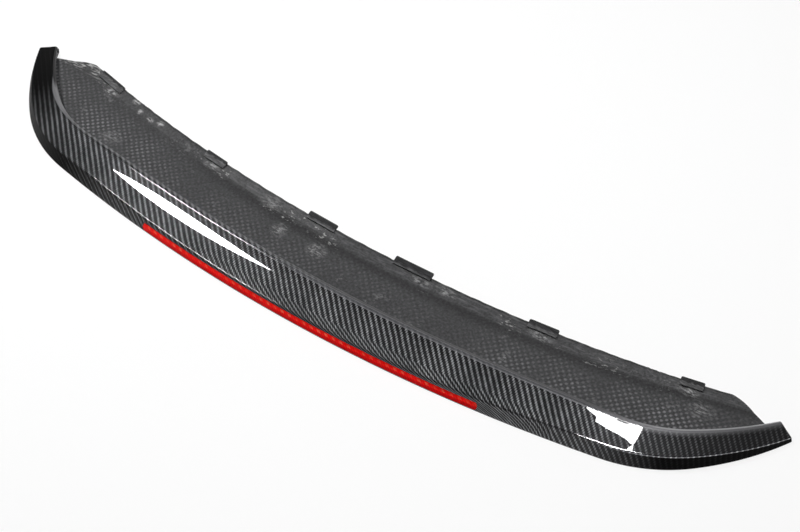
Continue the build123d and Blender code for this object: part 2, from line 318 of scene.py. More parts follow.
tip_turns = [pi / 2 * i / TIP_STEPS for i in range(TIP_STEPS, -1, -1)]
tip = [(1.0 - TIP_ROUND * (1.0 - sin(a)) / HALF, TIP_ROUND * (1.0 - cos(a))) for a in tip_turns]
plain = [(i / HALF_STATIONS, 0.0) for i in range(1 - HALF_STATIONS, HALF_STATIONS)]
stations = [(-share, inset) for share, inset in tip] + plain + tip[::-1]
rings = [ring(share, inset) for share, inset in stations]
shell = closed_mesh("carbon_shell", [[p[0] for p in points] for points in rings])
every = [p for points in rings for p in points]
cloth_map = shell.data.uv_layers.new(name="cloth")
edge_map = shell.data.uv_layers.new(name="edge")
for polygon in shell.data.polygons:
    polygon.material_index = min(SIDE_OF_CORNER[every[v][2]] for v in polygon.vertices)
    for loop in polygon.loop_indices:
        _, cloth, _, (along, across) = every[shell.data.loops[loop].vertex_index]
        cloth_map.data[loop].uv = [v * MM for v in cloth]
        edge_map.data[loop].uv = (along, across[polygon.material_index])
print("skin:", len(shell.data.polygons), "faces from", len(rings), "rings of", len(rings[0]))

# %% [markdown]
# ## Tools that cut the skin
# The slot of the lamp follows the middle arc and has rounded ends. A front corner is sawn with an upright
# prism, and a tip is closed with a plate of the section's outline. Exact booleans keep every face clean.

# %% Slot of the lamp
LENS_LENGTH, LENS_LOW, LENS_HIGH, LENS_DEPTH, LENS_END = 462.0, 1.3, 10.3, 3.6, 3.2
LENS_CLEARANCE, SLOT_STEPS = 0.2, 80


def lens_rings(grow, steps, outline):
    """Rings along the middle arc with rounded ends; the outline gives heights and depths at each stop."""
    half, end = LENS_LENGTH / 2 + grow, LENS_END + grow
    stops = [half - end * (1 - sin(pi / 2 * i / 8)) for i in range(8, 0, -1)]
    stops += [(half - end) * (1 - 2 * i / steps) for i in range(steps + 1)]
    stops += [-stop for stop in stops[7::-1]]
    made = []
    for stop in stops:
        past = max(0.0, abs(stop) - half + end)
        trim = end - sqrt(max(end**2 - past**2, 1e-6))
        x, y, turn = station(stop / HALF)
        points = []
        for height, depth in outline(LENS_LOW - grow + trim, LENS_HIGH + grow - trim, stop):
            reach = height * FACE_LEAN + depth
            place = (x - reach * sin(turn), y + reach * cos(turn), height)
            points.append([v + shift for v, shift in zip(place, SHIFT)])
        made.append(points)
    return made


def slot_outline(low, high, stop):
    """Plain oblong, from well outside the face to just behind the lens."""
    return [(low, -LENS_DEPTH), (low, LENS_DEPTH), (high, LENS_DEPTH), (high, -LENS_DEPTH)]


slot = closed_mesh("slot_mill", lens_rings(LENS_CLEARANCE, SLOT_STEPS, slot_outline))
print("slot mill:", len(slot.data.polygons), "faces")

# %% End walls and corner saws
WALL_INSET, WALL_DEPTHS, SAW_HEIGHTS, SAW_STEPS = 1.3, (0.05, 2.4), (-40.0, 60.0), 24


def tip_place(side, reach, out, height):
    """Place at a tip: how far into the part, how far out past its end, and how high."""
    x, y, turn = station(side)
    x += side * out * cos(turn) - reach * sin(turn)
    y += side * out * sin(turn) + reach * cos(turn)
    return x + SHIFT[0], y + SHIFT[1], height


def saw_outline():
    """Reach and distance outwards of the sawn corner: a trim line beside the lip and a rounded end."""
    start, trim_end, run, fall = 25.5, (51.5, -14.6), 44.0, 17.6
    slope = -2.2 / 26.0
    length = (run**2 + fall**2) / (2 * (fall + run * slope)) * sqrt(1 + slope**2)
    tilt = atan2(slope, 1.0)
    centre = (trim_end[0] + length * sin(tilt), trim_end[1] - length * cos(tilt))
    first = atan2(trim_end[1] - centre[1], trim_end[0] - centre[0])
    final = atan2(trim_end[1] - fall - centre[1], trim_end[0] + run - centre[0])
    outline = [(start, FRONT_MIDDLE), (start, -12.4)]
    for i in range(SAW_STEPS + 1):
        angle = first + (final - first) * i / SAW_STEPS
        outline.append((centre[0] + length * cos(angle), centre[1] + length * sin(angle)))
    return outline + [(FRONT_MIDDLE, outline[-1][1]), (FRONT_MIDDLE, FRONT_MIDDLE)]


walls, saws = [], []
for side in (-1.0, 1.0):
    line = offset_path(outer_path(side)[0], WALL_INSET)
    plates = [[tip_place(side, r, -depth, h + SHIFT[2]) for r, h in line] for depth in WALL_DEPTHS]
    walls.append(closed_mesh("end_wall", plates))
    plates = [[tip_place(side, r, out, height) for r, out in saw_outline()] for height in SAW_HEIGHTS]
    saws.append(closed_mesh("corner_saw", plates))
print("end walls:", len(walls), "corner saws:", len(saws))

# %% [markdown]
# ## The cloth
# Two-by-two twill: each tow passes over two tows and under two, and each row starts one tow later, which
# gives the diagonal ribs. The pattern is worked out from the cloth's own coordinates: the cell numbers
# say which tow is on top, and the place within its float gives the rounded crown of the tow. A picture
# of cloth would also do, but numbers stay sharp at any size and keep the real tow width.

# %% Twill from tow numbers
TOW = 2.1  # mm, flat tow of a common 3000-filament cloth
# the lighter fibre colour is a painted sheen: one direction of tows catching the light across it
FIBRE_DARK, FIBRE_LIGHT = "#2a2a2b", "#6c6d6f"


def twill(add):
    """Adds the weave to a material: which tow is on top (0 or 1), its crown, own number and tone."""
    place = add("UVMap", uv_map="cloth")
    sway = add("TexNoise", {"Vector": place, "Scale": 40.0, "Detail": 1.0}, output="Color")  # over 25 mm
    sway = add("VectorMath", {0: sway, 1: (0.5, 0.5, 0.5)}, "SUBTRACT")
    sway = add("VectorMath", {0: sway, "Scale": 0.5 * TOW * MM}, "SCALE")
    place = add("VectorMath", {0: place, 1: sway}, "ADD")
    tows = add("VectorMath", {0: place, "Scale": 1.0 / (TOW * MM)}, "SCALE")
    along_x, along_y = add("SeparateXYZ", {0: tows}).node.outputs[:2]
    column = add("Math", {0: along_x}, "FLOOR")
    row = add("Math", {0: along_y}, "FLOOR")
    order = add("Math", {0: column, 1: row}, "ADD")
    order = add("Math", {0: order, 1: 4.0}, "FLOORED_MODULO")
    warp = add("Math", {0: order, 1: 2.0}, "LESS_THAN")
    crowns = []
    for run, other, across in ((along_y, column, along_x), (along_x, row, along_y)):
        float_place = add("Math", {0: run, 1: other}, "ADD")
        float_place = add("Math", {0: float_place, 1: 2.0}, "FLOORED_MODULO")
        hump = add("Math", {0: float_place, 1: pi / 2}, "MULTIPLY")
        hump = add("Math", {0: hump}, "SINE")
        side = add("Math", {0: across}, "FRACT")
        side = add("Math", {0: side, 1: pi}, "MULTIPLY")
        side = add("Math", {0: side}, "SINE")
        crowns.append(add("Math", {0: hump, 1: side}, "MULTIPLY"))
    crown = add("Mix", {0: warp, 2: crowns[1], 3: crowns[0]})
    tow = add("Mix", {0: warp, 2: row, 3: column})
    lot = add("TexWhiteNoise", {"W": tow}, noise_dimensions="1D")
    # painted sheen: the tows of one direction take the lighter colour
    tones = {"Factor": warp, 6: colour(FIBRE_DARK), 7: colour(FIBRE_LIGHT)}
    return warp, crown, lot, add("Mix", tones, **RGBA)


print("twill repeat:", 4 * TOW, "mm")

# %% [markdown]
# ## Clear-coated twill
# Outside, the cloth lies under a polished layer of clear resin. Carbon filaments shine like fine wire: a
# tow is bright where the light falls across it and dark along it, so the two directions of the cloth take
# turns. That is an anisotropic metal, turned a quarter circle from one tow to the next. Its colour holds
# that sheen as well: one direction is painted lighter, and each crown is painted brighter, a painted
# highlight. The coat over it is smooth and gives the sharp white reflections, so the tows get the bump and
# the coat does not.

# %% Tows under clear resin
outside, add, shader = material("clear_coated_twill")
warp, crown, lot, tone = twill(add)
# painted highlight and shade on each tow: its crown coloured brighter, its edges darker
depth = add("MapRange", {"Value": crown, "To Min": 0.2, "To Max": 1.1})
lot = add("MapRange", {"Value": lot, "To Min": 0.7, "To Max": 1.2})
lay = add("UVMap", uv_map="cloth")
slow = add("TexNoise", {"Vector": lay, "Scale": 16.0, "Detail": 2.0})  # 60 mm clouds in the resin
slow = add("MapRange", {"Value": slow, "From Min": 0.3, "From Max": 0.7, "To Min": 0.8, "To Max": 1.15})
for gain in (depth, lot, slow):
    tone = add("VectorMath", {0: tone, "Scale": gain}, "SCALE")
print("fibres from", FIBRE_DARK, "to", FIBRE_LIGHT)

# %% [markdown]
# The light on the part changes along it, and the colour holds it as painted light and shade. The left tip
# and the lower faces at both shoulders are painted darker, a painted shade: dark surroundings stood below
# them, so they also get little polish to show the white paper with. On the right the lower face is painted
# brighter, a painted light, the band above it is painted blacker, a painted shade, and the fold between
# them carries a row of bright ticks, a painted highlight of tows that catch the light. One table says where
# each change comes.

# %% Changes along the part
# In metres from the middle: where it starts and ends, the values before and after it, and its blend.
CHANGES = {
    "wet": (-0.52, -0.42, 0.05, 1.0, "SMOOTHSTEP"),
    "black band": (0.30, 0.44, 0.0, 0.6, "LINEAR"),
    "bright face": (0.12, 0.24, 0.0, 0.8, "LINEAR"),
    "left shoulder": (-0.26, -0.37, 0.0, 0.92, "LINEAR"),
    "right shoulder": (0.36, 0.44, 0.0, 0.92, "LINEAR"),
    "ticks": (0.36, 0.42, 0.0, 14.0, "LINEAR"),
    "bead": (-0.10, 0.02, 0.0, 1.0, "LINEAR"),
    "bead end": (0.34, 0.42, 0.0, 1.0, "LINEAR"),
    "strip": (-0.535, -0.49, 0.0, 1.0, "SMOOTHSTEP"),
    "strip end": (-0.49, -0.39, 0.0, 1.0, "SMOOTHSTEP"),
}
along, from_lip = add("SeparateXYZ", {0: add("UVMap", uv_map="edge")}).node.outputs[:2]
mask = {}
for name, (start, end, before, after, blend) in CHANGES.items():
    change = {"Value": along, "From Min": start, "From Max": end, "To Min": before, "To Max": after}
    mask[name] = add("MapRange", change, interpolation_type=blend)
upright = add("SeparateXYZ", {0: add("NewGeometry", output="Normal")}, output="Z")
upright = add("MapRange", {"Value": upright, "From Min": 0.75, "From Max": 0.45})
# painted light: the lower face on the right is coloured brighter
lit = add("Math", {0: mask["bright face"], 1: upright, 2: 1.0}, "MULTIPLY_ADD")
# painted shade on the lower faces at both shoulders; the coat is thinned there too
pooled = add("Math", {0: mask["left shoulder"], 1: mask["right shoulder"]}, "MAXIMUM")
pooled = add("Math", {0: upright, 1: pooled}, "MULTIPLY")
pooled = add("Math", {0: 1.0, 1: pooled}, "SUBTRACT")
polish = add("Math", {0: pooled, 1: mask["wet"]}, "MULTIPLY")
# painted highlight: a row of bright ticks along the fold on the right, tows catching the light
fold = add("Math", {0: upright, 1: 0.5, 2: 0.48}, "COMPARE")
ticks = add("Math", {0: fold, 1: mask["ticks"], 2: 1.0}, "MULTIPLY_ADD")
# painted shade: the colour is darkened towards the left tip
tone = add("VectorMath", {0: tone, "Scale": mask["wet"]}, "SCALE")
# painted shade: the band on the right is coloured blacker
tone = add("Mix", {"Factor": mask["black band"], 6: tone, 7: colour("#272728")}, **RGBA)
for gain in (lit, pooled, ticks):
    tone = add("VectorMath", {0: tone, "Scale": gain}, "SCALE")
print("changes:", ", ".join(mask))

# %% [markdown]
# Beside the lip the cloth dips under resin. In the middle that is a dark bead with a paler line below it.
# At the right end the colour is painted paler towards the lip, the painted sheen of a broad soft roll, and
# at the left end a narrow pale strip that tapers off is a painted highlight on the glossy resin edge.

# %% Resin beside the lip, with painted highlight and sheen at its ends
BEAD, STRIP, SOFT_ROLL, LINE, LINE_HALF = (2.6, 3.0), 3.4, 9.0, 3.2, 0.5  # mm from the lip
fall = {"Value": from_lip, "From Min": BEAD[0] * MM, "From Max": BEAD[1] * MM, "To Min": 1.0, "To Max": 0.0}
margin = add("Math", {0: add("MapRange", fall), 1: mask["bead"]}, "MULTIPLY")
bead = add("Mix", {"Factor": mask["bead end"], 6: colour("#444446"), 7: colour("#6a6a6c")}, **RGBA)
tone = add("Mix", {"Factor": margin, 6: tone, 7: bead}, **RGBA)
# painted highlight: a pale strip beside the lip at the left end
strip = add("Math", {0: mask["strip"], 1: mask["strip end"]}, "SUBTRACT")
reach = add("Math", {0: from_lip, 1: STRIP * MM}, "DIVIDE")
strip = add("Math", {0: strip, 1: reach}, "SUBTRACT")
strip = add("MapRange", {"Value": strip, "From Max": 0.35, "To Max": 0.9})
# painted sheen: paler towards the lip at the right end, as on a broad roll
soft = {"Value": from_lip, "From Max": SOFT_ROLL * MM, "To Min": 0.75, "To Max": 0.0}
soft = add("MapRange", soft, interpolation_type="SMOOTHSTEP")
soft = add("Math", {0: soft, 1: mask["bead end"]}, "MULTIPLY")
line = add("Math", {0: from_lip, 1: LINE * MM, 2: LINE_HALF * MM}, "COMPARE")
middle = add("Math", {0: 1.0, 1: mask["bead end"]}, "SUBTRACT")
for gain in (mask["bead"], middle):
    line = add("Math", {0: line, 1: gain}, "MULTIPLY")
for cover, code in ((strip, "#7c7c7e"), (soft, "#6e6e70"), (line, "#5c5c5e")):
    tone = add("Mix", {"Factor": cover, 6: tone, 7: colour(code)}, **RGBA)
print("bead of", BEAD[1], "mm")

# %% Shine of the tows and of the coat
rough = add("MapRange", {"Value": crown, "To Min": 0.5, "To Max": 0.38})
bump = add("Bump", {"Height": crown, "Strength": 0.4, "Distance": 0.15 * MM})
quarter = add("MapRange", {"Value": warp, "To Min": 0.25, "To Max": 0.0})
fibres = add("Tangent", direction_type="UV_MAP", uv_map="cloth")
feed(shader, {"Base Color": tone, "Metallic": 0.5, "Roughness": rough, "Normal": bump})
feed(shader, {"Anisotropic": 0.7, "Anisotropic Rotation": quarter, "Tangent": fibres})
feed(shader, {"Specular IOR Level": 0.2, "Specular Tint": colour("#404040")})
feed(shader, {"Coat Weight": polish, "Coat Roughness": 0.0, "Coat IOR": 1.25})
shell.data.materials.append(outside)
print("made", outside.name)

# %% [markdown]
# ## Bare back of the laminate
# Inside, the backing layer was left as it cured. It is a coarser plain weave: its crowns stand out of thin
# matt resin as rows of dots, coloured lighter than the resin, partly as a painted highlight on the crowns.
# They drown towards the flange and in fuzzy places where resin pooled. The product of two sine waves gives
# the dots; modelled threads would need far more faces than they are worth.

# %% Plain weave
BACK_TOW = 4.2  # mm, heavier backing cloth
inside, add, shader = material("bare_weave_back")
lay = add("UVMap", uv_map="cloth")
sway = add("TexNoise", {"Vector": lay, "Scale": 30.0, "Detail": 2.0}, output="Color")  # over 33 mm
sway = add("VectorMath", {0: sway, "Scale": 0.8 * BACK_TOW * MM}, "SCALE")
lay = add("VectorMath", {0: lay, 1: sway}, "ADD")
turns = add("VectorMath", {0: lay, "Scale": pi / (BACK_TOW * MM)}, "SCALE")
waves = add("VectorMath", {0: turns}, "SINE")
wave_x, wave_y = add("SeparateXYZ", {0: waves}).node.outputs[:2]
dots = add("Math", {0: wave_x, 1: wave_y}, "MULTIPLY", use_clamp=True)
pools = add("TexNoise", {"Vector": lay, "Scale": 11.0, "Detail": 4.0, "Roughness": 0.6})  # 90 mm
pooled = add("MapRange", {"Value": pools, "From Min": 0.38, "From Max": 0.58})
seen = add("MapRange", {"Value": pooled, "To Min": 1.0, "To Max": 0.2})
edge = add("UVMap", uv_map="edge")
along, from_rim = add("SeparateXYZ", {0: edge}).node.outputs[:2]
ends = add("Math", {0: along}, "ABSOLUTE")
ends = add("MapRange", {"Value": ends, "From Min": 0.15, "From Max": 0.4, "To Min": 0.35, "To Max": 1.0})
print("dots every", BACK_TOW, "mm")

# %% Bands beside the rim
# In mm from the rim: start and end, the values before and after, and the blend.
BANDS = {
    "drowned": (16.0, 55.0, 0.1, 1.0, "LINEAR"),
    "valley": (13.0, 19.0, 0.0, 1.0, "SMOOTHSTEP"),
    "rise": (19.0, 34.0, 0.0, 1.0, "SMOOTHSTEP"),
    "rim": (1.5, 3.5, 0.35, 1.0, "LINEAR"),
    "ledge": (11.0, 17.0, 1.0, 0.0, "LINEAR"),
}
band = {}
for name, (start, end, before, after, blend) in BANDS.items():
    change = {"Value": from_rim, "From Min": start * MM, "From Max": end * MM}
    change |= {"To Min": before, "To Max": after}
    band[name] = add("MapRange", change, interpolation_type=blend)
for gain in (seen, ends, band["drowned"]):
    dots = add("Math", {0: dots, 1: gain}, "MULTIPLY")
# dots coloured lighter: the weave's pattern, with a painted highlight on its crowns
tone = add("Mix", {"Factor": dots, 6: colour("#3e3e3f"), 7: colour("#858587")}, **RGBA)
fuzz = add("TexNoise", {"Vector": lay, "Scale": 420.0, "Detail": 3.0})  # 2.4 mm fuzz of loose filaments
fuzz = add("MapRange", {"Value": fuzz, "From Min": 0.3, "From Max": 0.7, "To Min": 0.7, "To Max": 1.3})
flange = add("MapRange", {"Value": along, "From Min": -0.30, "From Max": -0.14, "To Min": 0.2})
shade = add("Math", {0: band["valley"], 1: band["rise"]}, "SUBTRACT")
shade = add("Math", {0: shade, 1: flange}, "MULTIPLY")
shade = add("MapRange", {"Value": shade, "To Min": 1.0, "To Max": 0.62})
for gain in (fuzz, shade, band["rim"]):
    tone = add("VectorMath", {0: tone, "Scale": gain}, "SCALE")
print("bands:", ", ".join(band))

# %% [markdown]
# Work by hand left its marks there: pale streaks along the flange, hard bright crumbs of resin in its
# corner, runs over the left brim, and places rubbed pale by sanding or by resin squeezed out beside the
# tabs. Noise gives their ragged look. The larger ones are placed by a list, each as a soft spot.

# %% Ragged marks
# Coordinates, cells a metre, detail, roughness, and the noise where a mark starts and is full.
MARKS = {
    "streaks": (edge, (60.0, 420.0, 1.0), 3.0, 0.5, 0.5, 0.75),  # 17 by 2.4 mm
    "crumbs": (edge, (150.0, 380.0, 1.0), 4.0, 0.65, 0.56, 0.72),  # 7 by 3 mm
    "clusters": (lay, (17.0, 17.0, 17.0), 2.0, 0.4, 0.53, 0.6),  # 60 mm
    "runs": (lay, (90.0, 420.0, 1.0), 4.0, 0.5, 0.5, 0.66),  # 11 by 2.4 mm
    "scratches": (lay, (130.0, 380.0, 1.0), 5.0, 0.75, 0.46, 0.66),  # 8 by 3 mm
    "smears": (lay, (26.0, 26.0, 26.0), 5.0, 0.75, 0.62, 0.8),  # 40 mm
}
mark = {}
for name, (place, cells, detail, rough, start, full) in MARKS.items():
    place = add("VectorMath", {0: place, 1: cells}, "MULTIPLY")
    noise = add("TexNoise", {"Vector": place, "Scale": 1.0, "Detail": detail, "Roughness": rough})
    mark[name] = add("MapRange", {"Value": noise, "From Min": start, "From Max": full})
corner = add("Math", {0: from_rim, 1: 13 * MM, 2: 8 * MM}, "COMPARE")
plan_x, plan_y = add("SeparateXYZ", {0: lay}).node.outputs[:2]
brim = add("MapRange", {"Value": plan_y, "From Min": 81 * MM, "From Max": 87 * MM})
left_end = {"Value": plan_x, "From Min": -0.425, "From Max": -0.41, "To Min": 0.75, "To Max": 0.0}
left_end = add("MapRange", left_end)
places = {"streaks": (band["ledge"], flange), "crumbs": (mark["clusters"], corner)}
places |= {"runs": (brim, left_end), "smears": (0.6,)}
for name, gains in places.items():
    for gain in gains:
        mark[name] = add("Math", {0: mark[name], 1: gain}, "MULTIPLY")
print("marks:", ", ".join(mark))

# %% Rubbed places
# In mm: middle, half sizes and strength.
RUBBED = ((-45, 6, 16, 13, 1.0), (-98, 8, 13, 13, 0.8), (-129, 35, 22, 11, 0.6), (-351, 13, 18, 12, 0.6))
RUBBED += ((-401, 74, 14, 8, 1.0), (80, 34, 17, 5, 1.0), (112, 37, 17, 6, 1.0), (215, -1, 5, 12, 0.7))
RUBBED += ((-224, 44, 14, 7, 1.2), (231, 46, 20, 7, 0.9), (402, 75, 17, 7, 1.1), (-363, 75, 8, 4, 2.0))
RUBBED += ((-350, 65, 5, 4, 2.0), (-332, 61, 6, 4, 2.0), (-317, 62, 6, 4, 2.0), (428, 61, 18, 16, 0.6))
smears = mark["smears"]
for x, y, half_x, half_y, strength in RUBBED:
    away = add("VectorMath", {0: lay, 1: (x * MM, y * MM, 0.0)}, "SUBTRACT")
    sizes = (1 / (half_x * MM), 1 / (half_y * MM), 0.0)
    away = add("VectorMath", {0: away, 1: sizes}, "MULTIPLY")
    away = add("VectorMath", {0: away}, "LENGTH", "Value")
    fall = {"Value": away, "From Min": 0.2, "From Max": 1.0, "To Min": strength, "To Max": 0.0}
    spot = add("Math", {0: add("MapRange", fall), 1: mark["scratches"]}, "MULTIPLY")
    smears = add("Math", {0: smears, 1: spot}, "MAXIMUM")
covers = (mark["runs"], "#c4c4c2"), (mark["streaks"], "#5e5e60"), (smears, "#a5a5a5")
for cover, code in (*covers, (mark["crumbs"], "#b4b4b2")):
    tone = add("Mix", {"Factor": cover, 6: tone, 7: colour(code)}, **RGBA)
bump = add("Bump", {"Height": dots, "Strength": 0.6, "Distance": 0.25 * MM})
bump = add("Bump", {"Height": mark["crumbs"], "Strength": 0.5, "Distance": 0.4 * MM, "Normal": bump})
rough = add("MapRange", {"Value": pooled, "To Min": 0.6, "To Max": 0.45})
feed(shader, {"Base Color": tone, "Normal": bump, "Roughness": rough, "Specular IOR Level": 0.15})
shell.data.materials.append(inside)
print(inside.name, "has", len(RUBBED), "rubbed places")

# %% [markdown]
# ## Rolled lip and sawn edges
# The lip was folded over the mould's edge: on the left the twill runs over it, elsewhere a smooth bead of
# black resin covers it. Its colour is painted paler along both edges of the roll, partly a painted sheen
# where it turns away, and paler all over at the right end, the painted sheen of a broader roll. Near the
# left end it is painted pale, a painted highlight on its glossy resin edge. The left tip is painted dark, a
# painted shade, and has no polish. Edges cut with a saw show the plies as fine lines.

# %% Rolled lip
LIP_CHANGES = {
    "woven": (-0.10, 0.02, 1.0, 0.0),
    "bare": (-0.44, -0.38, 0.0, 1.0),
    "tail": (-0.40, -0.46, 0.0, 0.9),
    "wet": (-0.512, -0.495, 0.06, 1.0),
    "pale": (0.36, 0.44, 0.0, 0.8),
}
lip, add, shader = material("resin_rich_lip")
weave = twill(add)[-1]
edge = add("UVMap", uv_map="edge")
along, roll = add("SeparateXYZ", {0: edge}).node.outputs[:2]
mask = {}
for name, (start, end, before, after) in LIP_CHANGES.items():
    change = {"Value": along, "From Min": start, "From Max": end, "To Min": before, "To Max": after}
    mask[name] = add("MapRange", change)
woven = add("Math", {0: mask["woven"], 1: mask["bare"]}, "MULTIPLY")
grain = add("TexNoise", {"Vector": edge, "Scale": 300.0, "Detail": 2.0})  # 3 mm brush marks
resin = add("Mix", {"Factor": grain, 6: colour("#333335"), 7: colour("#484849")}, **RGBA)
# both edges of the roll coloured paler, partly a painted sheen where it turns away
rubbed = add("Math", {0: roll, 1: 0.3}, "SUBTRACT")
rubbed = add("Math", {0: rubbed}, "ABSOLUTE")
rubbed = add("MapRange", {"Value": rubbed, "From Min": 0.2, "From Max": 0.27})
resin = add("Mix", {"Factor": rubbed, 6: resin, 7: colour("#626264")}, **RGBA)
tone = add("Mix", {"Factor": woven, 6: resin, 7: weave}, **RGBA)
# painted highlight: the lip coloured pale near the left end
tone = add("Mix", {"Factor": mask["tail"], 6: tone, 7: colour("#6f6f71")}, **RGBA)
# painted shade: the lip's colour is darkened at the left tip
tone = add("VectorMath", {0: tone, "Scale": mask["wet"]}, "SCALE")
# painted sheen: the lip coloured paler all over at the right end
tone = add("Mix", {"Factor": mask["pale"], 6: tone, 7: colour("#98989a")}, **RGBA)
bump = add("Bump", {"Height": grain, "Strength": 0.1, "Distance": 0.1 * MM})
feed(shader, {"Base Color": tone, "Normal": bump, "Roughness": 0.42, "Specular IOR Level": 0.3})
feed(shader, {"Coat Weight": mask["wet"], "Coat Roughness": 0.0, "Coat IOR": 1.25})
shell.data.materials.append(lip)
print("made", lip.name)

# %% Sawn edges
sawn, add, shader = material("sawn_laminate")
place = add("TexCoord", output="Object")
plies = add("VectorMath", {0: place, 1: (90.0, 90.0, 2500.0)}, "MULTIPLY")  # 0.4 mm plies
plies = add("TexNoise", {"Vector": plies, "Scale": 1.0, "Detail": 2.0})
tone = add("Mix", {"Factor": plies, 6: colour("#1c1c1d"), 7: colour("#4a4a4b")}, **RGBA)
bump = add("Bump", {"Height": plies, "Strength": 0.4, "Distance": 0.1 * MM})
feed(shader, {"Base Color": tone, "Normal": bump, "Roughness": 0.65})
shell.data.materials.append(sawn)
print("finishes:", [m.name for m in shell.data.materials])


# %% Close the tips, saw the corners, mill the slot
def face_outwards(piece):
    """Turn every face of a closed piece outwards."""
    bpy.context.view_layer.objects.active = piece
    bpy.ops.object.mode_set(mode="EDIT")
    bpy.ops.mesh.select_all(action="SELECT")
    bpy.ops.mesh.normals_make_consistent(inside=False)
    bpy.ops.object.mode_set(mode="OBJECT")


def cut(piece, tool, finish, operation):
    """Join or cut a piece with a tool, which leaves its finish there, and drop the tool."""
    tool.data.materials.append(finish)
    face_outwards(tool)
    face_outwards(piece)
    change = piece.modifiers.new("cut", "BOOLEAN")
    change.object, change.operation, change.solver = tool, operation, "EXACT"
    change.material_mode = "TRANSFER"
    bpy.ops.object.modifier_apply(modifier="cut")
    bpy.data.objects.remove(tool)


for wall, saw in zip(walls, saws):
    cut(shell, wall, inside, "UNION")
    cut(shell, saw, sawn, "DIFFERENCE")
cut(shell, slot, sawn, "DIFFERENCE")
shell.data.shade_smooth()
shell.data.set_sharp_from_angle(angle=radians(32.0))
change = shell.modifiers.new("even_normals", "WEIGHTED_NORMAL")
change.keep_sharp = True
bpy.ops.object.modifier_apply(modifier="even_normals")
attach(shell, "root")
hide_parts("spoiler_shell")
print("laminate:", len(shell.data.polygons), "faces")

# %% [markdown]
# ## Brake lamp lens
# A moulded bar of clear red acrylic. Its front has a ridge: the upper half looks up to the sky and is
# bright, the lower half looks out and is deeper red. Pillow optics of 10 mm break the upper half into
# cells, and fine flutes spread the light of the diodes behind. The pillows are drawn in the mesh.

# %% Ridged lens with pillow optics
CELL, PILLOW, RIDGE_SHARE, LENS_STEPS = 10.0, 0.3, 0.42, 740


def lens_outline(low, high, stop):
    """Section of the lens at a stop: heights and depths behind the face, with a ridge below the middle."""
    ridge = low + RIDGE_SHARE * (high - low)
    dent = PILLOW * abs(cos(pi * stop / CELL)) ** 2
    points = [(low, LENS_DEPTH), (low, 0.6), (low + 0.25, 0.3), (ridge - 0.3, 0.05), (ridge, 0.0)]
    for i in range(1, 7):
        rise = i / 6
        points.append((ridge + rise * (high - ridge - 0.25), 0.05 + 0.4 * rise + dent * sin(pi * rise)))
    return points + [(high, 0.8), (high, LENS_DEPTH)]


lens = closed_mesh("red_lens", lens_rings(0.0, LENS_STEPS, lens_outline))
face_outwards(lens)
lens.data.shade_smooth()
lens.data.set_sharp_from_angle(angle=radians(40.0))
print("lens:", len(lens.data.polygons), "faces")

# %% [markdown]
# Red acrylic is clear, but over a dark tray it looks solid red. The colour therefore holds what the eye
# sees in it: the deep lower half, the bright upper half with a glint in each pillow, and slanted ribs.

# %% Moulded red acrylic
FLUTE, RIB, SLANT = 2.5, 3.6, 0.8
acrylic, add, shader = material("moulded_red_acrylic")
place = add("TexCoord", output="Object")
flutes = add("VectorMath", {0: place, "Scale": 2 * pi / (FLUTE * MM)}, "SCALE")
flutes = add("SeparateXYZ", {0: add("VectorMath", {0: flutes}, "SINE")})
across, _, height = add("SeparateXYZ", {0: place}).node.outputs[:3]
upper = add("MapRange", {"Value": height, "From Min": 4.2 * MM, "From Max": 6.4 * MM})
tone = add("Mix", {"Factor": upper, 6: colour("#d80206"), 7: colour("#ff120c")}, **RGBA)
lean = add("Math", {0: height, 1: SLANT, 2: across}, "MULTIPLY_ADD")
cells = add("Math", {0: lean, 1: pi / (CELL * MM)}, "MULTIPLY")
cells = add("Math", {0: cells}, "SINE")
cells = add("Math", {0: cells}, "ABSOLUTE")
cells = add("MapRange", {"Value": cells, "From Min": 0.7, "From Max": 0.95})
glint = add("Math", {0: height, 1: 7.4 * MM, 2: 1.3 * MM}, "COMPARE")
uneven = add("TexNoise", {"Vector": place, "Scale": 60.0, "Detail": 2.0})  # over 17 mm
uneven = add("MapRange", {"Value": uneven, "From Min": 0.35, "From Max": 0.65, "To Min": 0.1, "To Max": 0.8})
for gain in (cells, uneven):
    glint = add("Math", {0: glint, 1: gain}, "MULTIPLY")
tone = add("Mix", {"Factor": glint, 6: tone, 7: colour("#ff6a4c")}, **RGBA)
ribs = add("Math", {0: lean, 1: 2 * pi / (RIB * MM)}, "MULTIPLY")
ribs = add("Math", {0: ribs}, "SINE")
ribs = add("MapRange", {"Value": ribs, "From Min": -1.0, "To Min": 0.9, "To Max": 1.12})
tone = add("VectorMath", {0: tone, "Scale": ribs}, "SCALE")
bump = add("Bump", {"Height": flutes, "Strength": 0.35, "Distance": 0.15 * MM})
feed(shader, {"Base Color": tone, "Normal": bump, "Roughness": 0.22, "IOR": 1.49, "Specular IOR Level": 0.06})
lens.data.materials.append(acrylic)
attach(lens, "root")
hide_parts("lamp_lens")
print("made", acrylic.name)

# %% [markdown]
# ## Tabs and the parts behind the lens
# The locating tabs are strips cut from black ABS sheet, matt, with pale scuffs. They were bonded by hand:
# resin was brushed over their inner part in a ragged film, so that they seem to grow out of the flange. The
# lamp's tray is moulded ABS with an eroded grain. The circuit board has a white solder mask, and its
# diodes are drops of clear resin over a yellow chip. These keep the solid model's shapes.

